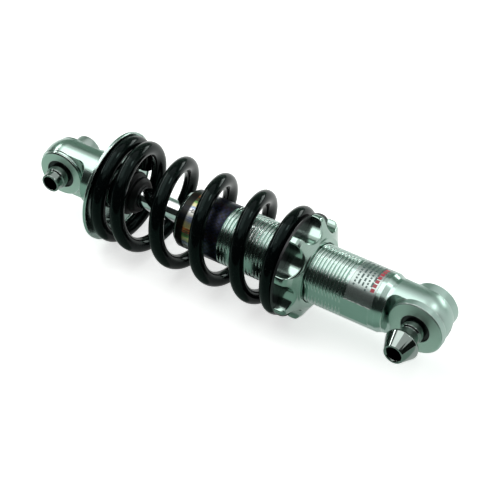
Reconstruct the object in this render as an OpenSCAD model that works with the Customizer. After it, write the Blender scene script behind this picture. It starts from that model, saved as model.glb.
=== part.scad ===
// Coil-over rear shock absorber: threaded alloy damper body, steel coil spring, a boss eye and a barrel eye.
// The shock lies along X with the body eye at the origin and the rod eye at minus X.
// Both eye pins run along Y, the near side of the shock is minus Y, and Z is up. Sizes are in mm.

/* [Layout] */
// distance between the two eye centres at full extension
eye_to_eye = 165; // [150:1:190]
// gap left between two parts that must slide or turn on each other
running_gap = 0.05; // [0.02:0.01:0.08]
// gap left round a part that only sits loose in its place
loose_gap = 0.4; // [0.3:0.05:0.8]
// gap left between two parts that rest on each other
touch_gap = 0.02; // [0.01:0.01:0.05]

/* [Damper body] */
// outside diameter of the threaded body
body_diameter = 24.2; // [23:0.1:26]
// diameter of the oil bore inside the body
bore_diameter = 17; // [15:0.1:18]
// pitch of the collar thread on the body
thread_pitch = 1.5; // [1.25:0.25:2]
// depth of the collar thread
thread_depth = 0.7; // [0.4:0.05:1]
// distance from the body eye to the end of the thread
thread_near = 29.5; // [26:0.5:34]
// distance from the body eye to the start of the thread at the open end
thread_far = 93; // [85:0.5:95]
// distance from the body eye to the open end of the body
body_far = 107.5; // [105:0.5:112]
// distance from the body axis to each long milled flat
flat_height = 11.35; // [10.8:0.05:11.8]
// distance from the body eye to the shoulder where the plain body ends
shoulder_near = 13; // [12:0.5:16]
// length of the slope between the plain body and the neck of the eye
shoulder_slope = 2.4; // [1:0.1:4]
// distance from the body eye to the closed end of the oil bore
bore_end = 21; // [19:0.5:24]

/* [Body eye] */
// radius of the round cheek on the far side of the body eye
cheek_radius = 9.8; // [9:0.1:11]
// distance from the shock axis to the near face of that cheek
cheek_face = 3.6; // [2:0.1:5]
// distance from the shock axis to the far face of the body eye
cheek_reach = 10; // [8.5:0.1:11]
// radius of the boss on the near side of the body eye
boss_radius = 11.7; // [11.3:0.1:12]
// radius of the round neck between eye and body
neck_radius = 11.2; // [10:0.1:12]
// distance from the shock axis to the near face of the body eye
eye_half_width = 7; // [6:0.1:9]
// distance from the shock axis to the milled side of the web behind the boss
web_half_width = 4.2; // [3:0.1:5]
// outside radius of the bush pressed in the eye
bush_radius = 6.3; // [5.8:0.1:7.5]
// depth that each bush sits below the flat face of its eye
bush_recess = 0.8; // [0.4:0.1:1.5]
// radius of the oil hole drilled into the end of the eye
oil_hole_radius = 0.8; // [0.5:0.05:1.2]
// angle of the oil hole below the shock axis
oil_hole_angle = 10; // [5:1:30]
// distance from the shock axis to the oil hole across the eye
oil_hole_far = 1; // [0:0.1:2]

/* [Eye sleeves] */
// diameter of the bolt that goes through each sleeve
bolt_diameter = 6; // [5:0.5:6]
// clearance of the bolt in its hole, on the diameter
bolt_clearance = 0.4; // [0.2:0.05:0.6]
// radius of the sleeve where it turns in its bush
sleeve_radius = 4.7; // [4.4:0.1:5.4]
// length of the thick sleeve end outside each eye face
sleeve_step = 4; // [2:0.1:6]
// radius of the thinner sleeve part outside the step
sleeve_tip_radius = 4; // [3.8:0.1:4.4]
// length of the thinner tip on the rod eye sleeve
sleeve_tip = 3.2; // [2:0.1:5]
// radius of the flared head of the body eye sleeve
head_radius = 7.1; // [6:0.1:8]
// distance from the near face of the body eye to the front of the flared head
head_reach = 16.4; // [14:0.1:18]
// length of the cone from the front of that head to its widest place
head_cone = 6.3; // [4:0.1:7]
// radius of the round shoulder at the far end of the rod eye sleeve
far_shoulder_radius = 5.8; // [5:0.1:6.5]

/* [Rod and rod eye] */
// diameter of the chrome rod
rod_diameter = 9; // [8:0.1:10]
// radius of the barrel round the rod eye
barrel_radius = 10.1; // [9.2:0.1:11]
// distance from the shock axis to the near end of the barrel
barrel_near = 6.3; // [6:0.1:9]
// distance from the shock axis to the far end of the barrel
barrel_far = 6.3; // [6:0.1:11]
// radius of the round corner between the barrel and the milled bar
barrel_fillet = 0.6; // [0.3:0.1:1.2]
// radius of the round bar that the rod eye is milled from
bar_radius = 11.2; // [10.5:0.1:12]
// half of the thickness between the two milled sides of the rod eye
bar_half_width = 4.7; // [4:0.1:6]
// distance from the rod eye to the end of its milled sides
mill_end = 13; // [12:0.5:15]
// radius of the round corner that the mill leaves
mill_radius = 4; // [2:0.5:5]
// distance from the rod eye to the face that carries the spring seat
seat_back = 19.5; // [18:0.5:21]
// radius of the spigot that centres the spring seat
spigot_radius = 9; // [8.4:0.1:10]
// diameter of the threaded rod end inside the eye
rod_thread_diameter = 8; // [6:0.5:8]

/* [Spring] */
// diameter of the spring wire
wire_diameter = 6; // [5.5:0.1:6.5]
// outside diameter of the coil
coil_diameter = 44.2; // [43:0.1:46]
// turns of wire from tip to tip
coil_turns = 5.75; // [5.2:0.01:6.2]
// turns that lie closed at the seat end
closed_turns = 1.1; // [0.9:0.05:1.4]
// clear gap between the closed turns
closed_gap = 0.5; // [0.42:0.01:1]
// depth of wire ground flat at the seat
seat_grind = 2.4; // [1:0.1:2.6]
// depth of wire ground flat at the collar
collar_grind = 0.4; // [0.2:0.1:2]
// angle of the wire tip at the seat, from plus Y toward plus Z
wire_start_angle = -10; // [-180:1:180]
// rings of the spring tube in one turn
rings_per_turn = 26; // [16:1:36]
// sides of the spring tube
tube_sides = 10; // [8:1:14]

/* [Spring seat] */
// outside diameter of the seat rim
seat_diameter = 46; // [45.6:0.1:48]
// thickness of the seat under the spring
seat_floor = 4.1; // [3:0.1:5]
// height of the seat rim above its floor
seat_lip = 0.4; // [0.2:0.1:1]
// radius of the flat back of the seat
seat_hub_radius = 14.5; // [13:0.1:16]
// gap between the seat lip and the outside of the coil
lip_clearance = 0.35; // [0.2:0.05:0.6]
// height of the pilot that stands up inside the coil
pilot_height = 1.2; // [0.6:0.1:2]
// gap between the pilot and the inside of the coil
pilot_clearance = 1.5; // [0.5:0.1:3]
// height of the spigot above the floor of the seat
spigot_height = 1.6; // [1.4:0.1:3]

/* [Preload collar] */
// distance from the body eye to the spring side of the collar
collar_far = 54.4; // [52:0.1:62]
// length of the collar
collar_length = 8.1; // [7:0.1:12]
// length of the straight rim of the collar
collar_rim = 3.9; // [2:0.1:5]
// outside diameter of the collar
collar_diameter = 44.2; // [42:0.1:46]
// radius of the flat front of the collar
collar_hub_radius = 15; // [14:0.1:15.6]
// number of round notches in the collar
notch_count = 8; // [6:1:8]
// radius of each notch
notch_radius = 7.4; // [6.5:0.1:8]
// distance from the collar axis to the floor of a notch
notch_floor = 16; // [15.8:0.1:18]
// thickness of the washer between spring and collar
washer_thickness = 1; // [0.6:0.1:1.6]

/* [Bump stop] */
// length of the rubber bump stop on the rod
bump_length = 16; // [10:0.5:16]
// largest radius of the bump stop
bump_radius = 9.5; // [8:0.1:11]

/* [Inner pieces] */
// distance from the body eye to the near face of the seal head
head_near = 94; // [92:0.5:97]
// length of the seal head
head_length = 10; // [8:0.5:11]
// length of the damping piston
piston_length = 8; // [6:0.5:10]
// thickness of each shim stack
shim_thickness = 1.2; // [0.6:0.1:2]
// length of the floating piston
float_length = 8; // [6:0.5:10]
// distance from the body eye to the near face of the floating piston
float_near = 36; // [30:0.5:42]
// thickness of the foil band and of the label
foil_thickness = 0.3; // [0.3:0.05:0.5]
// height of the lower edge of the label above the body axis
label_low = 4.7; // [3:0.1:7]
// bare length of body between the label and the shoulder
label_gap = 4.3; // [3:0.1:6]
// width of the seals round the rod
seal_width = 2.1; // [1.6:0.1:2.4]
// wall of the guide bush round the rod
guide_wall = 1.4; // [1:0.1:1.6]
// length of the guide bush
guide_length = 4.5; // [3:0.1:5]
// width of the ring that keeps the seal head in
ring_width = 1.1; // [0.8:0.1:1.5]
// least length of body outside that ring
mouth_land = 2; // [1.6:0.1:4]
// distance from the seal head to the far face of the piston
piston_reach = 17.5; // [16:0.5:20]
// diameter of the stud that carries the piston
stud_diameter = 6; // [5:0.1:7]
// height of the nut on the stud
nut_height = 5; // [4:0.1:6]
// distance from the floating piston to the gas port
port_offset = 10; // [8:0.5:11]
// radius of the screw in the gas port
screw_radius = 2.5; // [2:0.1:3]

/* [Hidden] */
$fn = 96;
rod_eye_x = -eye_to_eye;
body_radius = body_diameter / 2;
bore_radius = bore_diameter / 2;
rod_radius = rod_diameter / 2;
rod_thread_radius = rod_thread_diameter / 2;
bolt_hole_radius = (bolt_diameter + bolt_clearance) / 2;
bush_inner = sleeve_radius + running_gap;
seat_face_x = rod_eye_x + seat_back;
seat_floor_x = seat_face_x + seat_floor;
spigot_end_x = seat_floor_x + spigot_height;
washer_x = -collar_far - washer_thickness;
wire_radius = wire_diameter / 2;
coil_radius = coil_diameter / 2 - wire_radius;
spring_left_x = seat_floor_x + touch_gap;
spring_right_x = washer_x - touch_gap;
closed_pitch = wire_diameter + closed_gap;
rise_turns = 0.35;
fall_turns = 0.8;
tail_turns = 0.1;
tail_pitch = 1;
open_turns = coil_turns - closed_turns - rise_turns - fall_turns - tail_turns;
seat_tip = wire_radius - seat_grind;
collar_tip = wire_radius - collar_grind;
wire_travel = spring_right_x - spring_left_x - seat_tip - collar_tip;
open_pitch = (wire_travel - closed_pitch * (closed_turns + rise_turns / 2)
    - tail_pitch * (tail_turns + fall_turns / 2)) / (open_turns + rise_turns / 2 + fall_turns / 2);
bump_left_x = spigot_end_x + touch_gap;
bump_right_x = bump_left_x + bump_length;
seal_head_left_x = -head_near - head_length;
float_left_x = -float_near - float_length;
ring_right_x = seal_head_left_x - touch_gap;
ring_left_x = ring_right_x - ring_width;
mouth_x = -max(body_far, mouth_land - ring_left_x);
seal_pocket_radius = rod_radius + seal_width;
seal_pocket_depth = 2 * seal_width;
guide_radius = rod_radius + guide_wall;
ring_inner_radius = bore_radius - 1.4;
ring_groove_depth = 1.6;
ring_groove_width = 2.2;
ring_wire_radius = 0.72;
head_groove_x = seal_head_left_x + 2.8;
float_groove_x = float_left_x + 3;
wiper_lip = 1.2;
wiper_right_x = seal_head_left_x + 1.5;
piston_right_x = -head_near + piston_reach;
piston_left_x = piston_right_x - piston_length;
stud_radius = stud_diameter / 2;
stud_shoulder_x = piston_left_x - shim_thickness - 2 * touch_gap;
nut_left_x = piston_right_x + shim_thickness + 2 * touch_gap;
nut_right_x = nut_left_x + nut_height;
piston_land = piston_length / 4;
pad_radius = bore_radius - 0.9;
port_x = -float_near + port_offset;
foil_left_x = mouth_x + 1.7;
foil_right_x = -thread_far - 0.5;
label_left_x = -thread_near + 0.6;
label_right_x = -shoulder_near - label_gap;
lip_inner_radius = coil_diameter / 2 + lip_clearance;
seat_radius = seat_diameter / 2;
pilot_radius = coil_radius - wire_radius - pilot_clearance;
washer_radius = coil_diameter / 2 - 0.7;
collar_radius = collar_diameter / 2;
collar_front_x = -collar_far + collar_length;
head_front_y = -eye_half_width - head_reach;
rod_sleeve_far_y = barrel_near + sleeve_step + sleeve_tip;

// turn a profile of radius and X points about the shock axis
module turned_x(points) {
    rotate([0, 90, 0])
        rotate_extrude()
            polygon(points);
}

// turn a profile of radius and Y points about a pin axis
module turned_y(points) {
    rotate([-90, 0, 0])
        rotate_extrude()
            polygon(points);
}

// round bar along X
module bar_x(radius, from_x, to_x) {
    translate([from_x, 0, 0])
        rotate([0, 90, 0])
            cylinder(r = radius, h = to_x - from_x);
}

// round bar along Y
module bar_y(radius, from_y, to_y) {
    translate([0, from_y, 0])
        rotate([-90, 0, 0])
            cylinder(r = radius, h = to_y - from_y);
}

// plain block between two corners
module block(low, high) {
    translate(low)
        cube(high - low);
}

// material milled away on one side of an eye up to a round inner corner
module side_cut(half_width, from_x, to_x, corner, inward, side) {
    scale([inward, side, 1]) {
        block([from_x, half_width, -30], [to_x - corner, 40, 30]);
        block([from_x, half_width + corner, -30], [to_x, 40, 30]);
        translate([to_x - corner, half_width + corner, -30])
            cylinder(r = corner, h = 60);
    }
}

// crest and root points of the collar thread
function thread_points() = let (count = floor((thread_far - thread_near) / thread_pitch))
    [for (k = [0 : count - 1])
        let (x = -thread_far + k * thread_pitch)
        each [[body_radius, x + 0.15 * thread_pitch],
            [body_radius - thread_depth, x + 0.5 * thread_pitch],
            [body_radius, x + 0.85 * thread_pitch]]];

// threaded outside of the body with a groove for the foil and a pocket for the label
module body_outside() {
    turned_x(concat(
        [[0, mouth_x], [body_radius - 2.2, mouth_x], [body_radius - 1, mouth_x + 0.5],
            [body_radius - foil_thickness - touch_gap, foil_left_x - 0.1],
            [body_radius - foil_thickness - touch_gap, foil_right_x + 0.1],
            [body_radius, foil_right_x + 0.1]],
        thread_points(),
        [[body_radius, -thread_near], [body_radius, -shoulder_near - shoulder_slope],
            [neck_radius - 0.1, -shoulder_near], [0, -shoulder_near]]));
}

// round eye end with a boss on its near side and a long cheek on its far side
module eye_end() {
    difference() {
        union() {
            sphere(r = neck_radius);
            bar_x(neck_radius, -shoulder_near - 1, 0);
        }
        side_cut(web_half_width, -20, shoulder_near - 0.5, 3, -1, -1);
        side_cut(eye_half_width, -20, shoulder_near - 0.5, 3, -1, 1);
    }
    turned_y([[0, cheek_face], [cheek_radius - 0.5, cheek_face], [cheek_radius, cheek_face + 0.5],
        [cheek_radius, cheek_reach - 0.8], [cheek_radius - 0.8, cheek_reach], [0, cheek_reach]]);
    turned_y([[0, -eye_half_width], [boss_radius - 0.4, -eye_half_width],
        [boss_radius, -eye_half_width + 0.4], [boss_radius, -web_half_width + 0.3],
        [0, -web_half_width + 0.3]]);
}

// alloy body with the oil bore, the thread, the long flats and the eye in one piece
module damper_body() {
    color([0.74, 0.76, 0.76])
        difference() {
            union() {
                body_outside();
                eye_end();
            }
            bar_x(bore_radius, mouth_x - 1, -bore_end);
            turned_x([[0, -bore_end], [bore_radius, -bore_end], [0, -bore_end + 2.5]]);
            bar_x(bore_radius + ring_width - 0.2, ring_left_x - 0.1, ring_right_x + 0.1);
            for (side = [-1, 1])
                scale([1, side, 1])
                    block([-thread_far, flat_height, -15], [-18, 20, 15]);
            bar_y(bush_radius, -20, 20);
            translate([0, oil_hole_far, 0])
                rotate([0, oil_hole_angle, 0])
                    bar_x(oil_hole_radius, 0, 20);
            translate([port_x, 0, 0])
                bar_y(screw_radius + running_gap, bore_radius - 1.5, 20);
            difference() {
                bar_x(body_radius + 1, label_left_x - 0.1, label_right_x + 0.1);
                bar_x(body_radius - foil_thickness - touch_gap, -40, 0);
                block([-40, -20, -20], [0, 20, label_low - 0.1]);
            }
        }
}

// bearing bush pressed in an eye
module eye_bush(near, far) {
    turned_y([[bush_inner, -near + bush_recess], [bush_radius, -near + bush_recess],
        [bush_radius, far - bush_recess], [bush_inner, far - bush_recess]]);
}

// bush in the body eye
module body_eye_bush() {
    color([0.2, 0.2, 0.21])
        eye_bush(eye_half_width, cheek_reach);
}

// bush in the rod eye
module rod_eye_bush() {
    color([0.2, 0.2, 0.21])
        translate([rod_eye_x, 0, 0])
            eye_bush(barrel_near, barrel_far);
}

// gland that closes the open end of the body round the rod
module seal_head() {
    color([0.6, 0.6, 0.62])
        turned_x([[rod_radius + loose_gap, seal_head_left_x + seal_pocket_depth],
            [seal_pocket_radius, seal_head_left_x + seal_pocket_depth],
            [seal_pocket_radius, seal_head_left_x],
            [bore_radius - running_gap, seal_head_left_x],
            [bore_radius - running_gap, head_groove_x],
            [bore_radius - ring_groove_depth, head_groove_x],
            [bore_radius - ring_groove_depth, head_groove_x + ring_groove_width],
            [bore_radius - running_gap, head_groove_x + ring_groove_width],
            [bore_radius - running_gap, -head_near],
            [guide_radius, -head_near], [guide_radius, -head_near - guide_length],
            [rod_radius + loose_gap, -head_near - guide_length]]);
}

// plain bearing that guides the rod in the seal head
module guide_bush() {
    color([0.45, 0.38, 0.25])
        turned_x([[rod_radius + running_gap, -head_near - guide_length + touch_gap],
            [guide_radius - touch_gap, -head_near - guide_length + touch_gap],
            [guide_radius - touch_gap, -head_near - 0.1], [rod_radius + running_gap, -head_near - 0.1]]);
}

// oil seal in the outer pocket of the seal head
module rod_seal() {
    color([0.12, 0.12, 0.13])
        turned_x([[rod_radius + running_gap, wiper_right_x + 0.1],
            [seal_pocket_radius - touch_gap, wiper_right_x + 0.1],
            [seal_pocket_radius - touch_gap, seal_head_left_x + seal_pocket_depth - touch_gap],
            [rod_radius + running_gap, seal_head_left_x + seal_pocket_depth - touch_gap]]);
}

// dust wiper at the mouth of the seal head
module rod_wiper() {
    color([0.1, 0.1, 0.1])
        turned_x([[rod_radius + running_gap, seal_head_left_x - wiper_lip],
            [rod_radius + 0.5 * seal_width, seal_head_left_x - wiper_lip],
            [seal_pocket_radius - touch_gap, seal_head_left_x - 0.2],
            [seal_pocket_radius - touch_gap, wiper_right_x], [rod_radius + running_gap, wiper_right_x]]);
}

// round seal ring in its groove against the bore
module seal_ring(centre_x) {
    translate([centre_x, 0, 0])
        rotate([0, 90, 0])
            rotate_extrude()
                translate([bore_radius - ring_wire_radius - 2 * running_gap, 0])
                    circle(r = ring_wire_radius, $fn = 24);
}

// static seal round the seal head
module head_ring() {
    color([0.1, 0.1, 0.1])
        seal_ring(head_groove_x + ring_groove_width / 2);
}

// wire ring that keeps the seal head in the body
module retaining_ring() {
    color([0.3, 0.3, 0.32])
        difference() {
            turned_x([[ring_inner_radius, ring_left_x], [bore_radius + ring_width - 0.3, ring_left_x],
                [bore_radius + ring_width - 0.3, ring_right_x], [ring_inner_radius, ring_right_x]]);
            block([ring_left_x - 1, -1.5, -2 * bore_radius], [ring_right_x + 1, 1.5, 0]);
        }
}

// piston that parts the oil from the gas
module floating_piston() {
    color([0.62, 0.63, 0.65])
        turned_x([[0, float_left_x], [bore_radius - running_gap, float_left_x],
            [bore_radius - running_gap, float_groove_x], [bore_radius - ring_groove_depth, float_groove_x],
            [bore_radius - ring_groove_depth, float_groove_x + ring_groove_width],
            [bore_radius - running_gap, float_groove_x + ring_groove_width],
            [bore_radius - running_gap, -float_near], [0.6 * bore_radius, -float_near],
            [0.6 * bore_radius, -float_near - float_length / 2], [0, -float_near - float_length / 2]]);
}

// seal ring on the floating piston
module float_ring() {
    color([0.1, 0.1, 0.1])
        seal_ring(float_groove_x + ring_groove_width / 2);
}

// socket screw that plugs the gas port on the far flat
module charge_screw() {
    color([0.25, 0.25, 0.27])
        translate([port_x, 0, 0])
            difference() {
                bar_y(screw_radius, bore_radius + 0.4, flat_height - 0.1);
                translate([0, flat_height - 1.8, 0])
                    rotate([-90, 0, 0])
                        cylinder(r = 0.56 * screw_radius, h = 5, $fn = 6);
            }
}

// foil band round the plain open end of the body
module foil_band() {
    color([0.08, 0.1, 0.2])
        turned_x([[body_radius - foil_thickness, foil_left_x], [body_radius, foil_left_x + foil_thickness],
            [body_radius, foil_right_x], [body_radius - foil_thickness, foil_right_x]]);
}

// blank label let into the body above the near flat
module body_label() {
    color([0.78, 0.8, 0.78])
        difference() {
            turned_x([[body_radius - foil_thickness, label_left_x], [body_radius, label_left_x],
                [body_radius, label_right_x], [body_radius - foil_thickness, label_right_x]]);
            block([-40, -20, -20], [0, 20, label_low]);
        }
}

// hardened rod from the rod eye to the piston
module damper_rod() {
    color([0.85, 0.86, 0.87])
        turned_x([[0, seat_face_x - 9.5], [rod_thread_radius - 0.6, seat_face_x - 9.5],
            [rod_thread_radius, seat_face_x - 8.9], [rod_thread_radius, spigot_end_x - 2],
            [rod_radius, spigot_end_x - 2], [rod_radius, stud_shoulder_x],
            [stud_radius, stud_shoulder_x], [stud_radius, nut_right_x + 0.6],
            [stud_radius - 0.4, nut_right_x + 1], [0, nut_right_x + 1]]);
}

// rod eye milled from round bar with a barrel along the pin and a spigot for the seat
module rod_eyelet() {
    color([0.74, 0.76, 0.76])
        difference() {
            union() {
                translate([rod_eye_x, 0, 0])
                    difference() {
                        union() {
                            sphere(r = bar_radius);
                            bar_x(bar_radius, 0, seat_back);
                        }
                        for (side = [-1, 1])
                            side_cut(bar_half_width, -20, mill_end, mill_radius, 1, side);
                    }
                translate([rod_eye_x, 0, 0])
                    turned_y([[0, -barrel_near], [barrel_radius - 0.5, -barrel_near],
                        [barrel_radius, -barrel_near + 0.5],
                        [barrel_radius, -bar_half_width - barrel_fillet],
                        [barrel_radius + 0.3 * barrel_fillet, -bar_half_width - 0.3 * barrel_fillet],
                        [barrel_radius + barrel_fillet, -bar_half_width + 0.3],
                        [barrel_radius - 1, -bar_half_width + 0.3], [barrel_radius - 1, 0],
                        [barrel_radius, 0], [barrel_radius, barrel_far - 0.8],
                        [barrel_radius - 0.8, barrel_far], [0, barrel_far]]);
                bar_x(spigot_radius, seat_face_x - 1, spigot_end_x);
            }
            translate([rod_eye_x, 0, 0])
                bar_y(bush_radius, -20, 20);
            bar_x(rod_thread_radius + running_gap, seat_face_x - 10, spigot_end_x + 1);
            bar_x(rod_radius + running_gap, spigot_end_x - 2.05, spigot_end_x + 1);
        }
}

// ribbed rubber stop on the rod
module bump_stop() {
    color([0.06, 0.06, 0.06])
        turned_x([[rod_radius + 0.08, bump_left_x], [bump_radius - 1, bump_left_x],
            [bump_radius, bump_left_x + 1], [bump_radius, bump_left_x + 0.3 * bump_length],
            [bump_radius - 1.8, bump_left_x + 0.4 * bump_length],
            [bump_radius - 0.4, bump_left_x + 0.5 * bump_length],
            [bump_radius - 0.4, bump_left_x + 0.64 * bump_length],
            [bump_radius - 2.4, bump_left_x + 0.74 * bump_length],
            [bump_radius - 1.4, bump_left_x + 0.84 * bump_length],
            [bump_radius - 2.4, bump_right_x], [rod_radius + 0.08, bump_right_x]]);
}

// soft pad that ends the outward travel
module top_out_pad() {
    color([0.55, 0.2, 0.12])
        turned_x([[rod_radius + 0.08, -head_near + 0.2], [pad_radius - 0.6, -head_near + 0.2],
            [pad_radius, -head_near + 0.8], [pad_radius, piston_left_x - shim_thickness - 0.8],
            [rod_radius + 0.08, piston_left_x - shim_thickness - 0.8]]);
}

// flat disc stack on the rod spigot
module shim_stack(from_x, outer) {
    turned_x([[stud_radius + running_gap, from_x], [outer, from_x], [outer - 0.6, from_x + shim_thickness],
        [stud_radius + running_gap, from_x + shim_thickness]]);
}

// discs that meter the outward stroke
module rebound_shims() {
    color([0.5, 0.52, 0.56])
        shim_stack(piston_left_x - shim_thickness - touch_gap, bore_radius - 1.9);
}

// discs that meter the inward stroke
module compression_shims() {
    color([0.5, 0.52, 0.56])
        shim_stack(piston_right_x + touch_gap, bore_radius - 1.7);
}

// drilled piston with a groove for its band
module damping_piston() {
    color([0.6, 0.62, 0.64])
        difference() {
            turned_x([[stud_radius + running_gap, piston_left_x], [bore_radius - 0.3, piston_left_x],
                [bore_radius - 0.3, piston_left_x + piston_land],
                [bore_radius - 1.1, piston_left_x + piston_land],
                [bore_radius - 1.1, piston_right_x - piston_land],
                [bore_radius - 0.3, piston_right_x - piston_land],
                [bore_radius - 0.3, piston_right_x], [stud_radius + running_gap, piston_right_x]]);
            for (k = [0 : 5])
                rotate([60 * k, 0, 0])
                    translate([0, stud_radius + 2.1, 0])
                        bar_x(0.9, piston_left_x - 1, piston_right_x + 1);
        }
}

// low friction band round the piston
module piston_band() {
    color([0.3, 0.27, 0.22])
        turned_x([[bore_radius - 1.08, piston_left_x + piston_land + 0.1],
            [bore_radius - running_gap, piston_left_x + piston_land + 0.1],
            [bore_radius - running_gap, piston_right_x - piston_land - 0.1],
            [bore_radius - 1.08, piston_right_x - piston_land - 0.1]]);
}

// nut that holds the piston stack
module piston_nut() {
    color([0.55, 0.55, 0.56])
        difference() {
            translate([nut_left_x, 0, 0])
                rotate([0, 90, 0])
                    cylinder(r = stud_radius + 2.6, h = nut_height, $fn = 6);
            bar_x(stud_radius + running_gap, piston_right_x, nut_right_x + 5);
        }
}

// dished alloy seat that carries the rod end of the spring
module spring_seat() {
    color([0.75, 0.77, 0.76])
        difference() {
            turned_x([[spigot_radius + running_gap, seat_face_x + touch_gap],
                [seat_hub_radius, seat_face_x + touch_gap],
                [seat_radius - 0.3, seat_floor_x - 1], [seat_radius, seat_floor_x - 0.7],
                [seat_radius, seat_floor_x + seat_lip - 0.2], [seat_radius - 0.2, seat_floor_x + seat_lip],
                [pilot_radius, seat_floor_x + seat_lip], [pilot_radius - 1, seat_floor_x + pilot_height],
                [spigot_radius + running_gap, seat_floor_x + pilot_height]]);
            turned_x([[pilot_radius, seat_floor_x], [lip_inner_radius, seat_floor_x],
                [lip_inner_radius, seat_floor_x + seat_lip + 1],
                [pilot_radius, seat_floor_x + seat_lip + 1]]);
        }
}

// height of the wire centre above the seat after a number of turns
function wire_rise(t) = let (
        a = closed_turns,
        b = a + rise_turns,
        c = b + open_turns,
        d = c + fall_turns,
        up = max(0, min(t, b) - a),
        down = max(0, min(t, d) - c))
    closed_pitch * min(t, a)
    + closed_pitch * up + (open_pitch - closed_pitch) * up * up / (2 * rise_turns)
    + open_pitch * max(0, min(t, c) - b)
    + open_pitch * down - (open_pitch - tail_pitch) * down * down / (2 * fall_turns)
    + tail_pitch * max(0, t - d);

// centre of the wire after a number of turns
function wire_point(t) = let (angle = wire_start_angle + 360 * t)
    [spring_left_x + seat_tip + wire_rise(t), coil_radius * cos(angle), coil_radius * sin(angle)];

// direction of the wire after a number of turns
function wire_heading(t) = let (v = wire_point(t + 0.002) - wire_point(t - 0.002)) v / norm(v);

// a point held between the two ground ends of the spring
function ground(p) = [min(max(p[0], spring_left_x), spring_right_x), p[1], p[2]];

// one ring of points round the wire
function wire_ring(t, radius) = let (
        angle = wire_start_angle + 360 * t,
        out = [0, cos(angle), sin(angle)],
        side = cross(wire_heading(t), out))
    [for (j = [0 : tube_sides - 1])
        let (turn = 360 * (j + 0.5) / tube_sides)
        ground(wire_point(t) + radius * (cos(turn) * out + sin(turn) * side))];

ring_count = ceil(coil_turns * rings_per_turn);
spring_points = [for (i = [0 : ring_count]) each wire_ring(i * coil_turns / ring_count, wire_radius)];
neighbour_gaps = [for (i = [0 : rings_per_turn * 4 * (coil_turns - 1)])
    let (t = i / (rings_per_turn * 4))
    min([for (k = [-8 : 8]) norm(wire_point(t + 1 + k / 120) - wire_point(t))]) - wire_diameter];
echo(least_spring_gap = min(neighbour_gaps), open_pitch = open_pitch, ring_count = ring_count);

// round wire coil with a closed turn at the seat and a flat end at the collar
module coil_spring() {
    color([0.05, 0.05, 0.05])
        polyhedron(points = spring_points, faces = concat(
            [[for (j = [0 : tube_sides - 1]) j]],
            [for (i = [0 : ring_count - 1]) for (j = [0 : tube_sides - 1])
                let (k = (j + 1) % tube_sides, a = i * tube_sides, b = a + tube_sides)
                each [[a + j, b + j, b + k], [a + j, b + k, a + k]]],
            [[for (j = [tube_sides - 1 : -1 : 0]) ring_count * tube_sides + j]]));
}

// plain washer between the spring and the collar
module thrust_washer() {
    color([0.12, 0.12, 0.13])
        turned_x([[body_radius + loose_gap, washer_x], [washer_radius, washer_x],
            [washer_radius, washer_x + washer_thickness - touch_gap],
            [body_radius + loose_gap, washer_x + washer_thickness - touch_gap]]);
}

// notched ring that sets the spring preload
module preload_collar() {
    color([0.76, 0.78, 0.77])
        difference() {
            turned_x([[body_radius + running_gap, -collar_far + 0.5], [body_radius + 0.6, -collar_far],
                [collar_radius - 0.6, -collar_far], [collar_radius, -collar_far + 0.6],
                [collar_radius, -collar_far + collar_rim],
                [collar_hub_radius, collar_front_x - 0.6], [collar_hub_radius - 0.6, collar_front_x],
                [body_radius + 0.6, collar_front_x], [body_radius + running_gap, collar_front_x - 0.5]]);
            for (k = [0 : notch_count - 1])
                rotate([360 * k / notch_count, 0, 0])
                    translate([0, notch_floor + notch_radius, 0])
                        bar_x(notch_radius, -collar_far - 1, collar_front_x + 1);
        }
}

// steel sleeve in the rod eye with a stepped near end and a round far shoulder
module rod_eye_sleeve() {
    color([0.28, 0.29, 0.31])
        translate([rod_eye_x, 0, 0])
            turned_y([[bolt_hole_radius, -barrel_near - sleeve_step - sleeve_tip],
                [sleeve_tip_radius - 0.3, -barrel_near - sleeve_step - sleeve_tip],
                [sleeve_tip_radius, -barrel_near - sleeve_step - sleeve_tip + 0.3],
                [sleeve_tip_radius, -barrel_near - sleeve_step],
                [sleeve_radius, -barrel_near - sleeve_step + 0.5],
                [sleeve_radius, barrel_far + 0.2],
                [far_shoulder_radius, barrel_far + 0.2],
                [far_shoulder_radius, rod_sleeve_far_y - 0.6],
                [far_shoulder_radius - 0.6, rod_sleeve_far_y],
                [bolt_hole_radius, rod_sleeve_far_y]]);
}

// steel sleeve in the body eye with a neck and a wide cone head on its near end
module body_eye_sleeve() {
    color([0.28, 0.29, 0.31])
        turned_y([[bolt_hole_radius + 0.5, head_front_y], [bolt_hole_radius + 0.8, head_front_y],
            [bolt_hole_radius + 1.1, head_front_y + 0.3],
            [head_radius - 0.5, head_front_y + head_cone - 1.1], [head_radius, head_front_y + head_cone],
            [head_radius - 0.3, head_front_y + head_cone + 1],
            [head_radius - 1.4, head_front_y + head_cone + 1.9],
            [sleeve_tip_radius, head_front_y + head_cone + 2.3],
            [sleeve_tip_radius, -eye_half_width - sleeve_step],
            [sleeve_radius, -eye_half_width - sleeve_step + 0.5], [sleeve_radius, cheek_reach + 1],
            [sleeve_radius - 0.5, cheek_reach + 1.5], [bolt_hole_radius, cheek_reach + 1.5],
            [bolt_hole_radius, head_front_y + 0.5]]);
}

damper_body();
body_eye_bush();
seal_head();
guide_bush();
rod_seal();
rod_wiper();
head_ring();
retaining_ring();
floating_piston();
float_ring();
charge_screw();
foil_band();
body_label();
damper_rod();
rod_eyelet();
rod_eye_bush();
bump_stop();
top_out_pad();
rebound_shims();
damping_piston();
piston_band();
compression_shims();
piston_nut();
spring_seat();
coil_spring();
thrust_washer();
preload_collar();
rod_eye_sleeve();
body_eye_sleeve();
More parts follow.
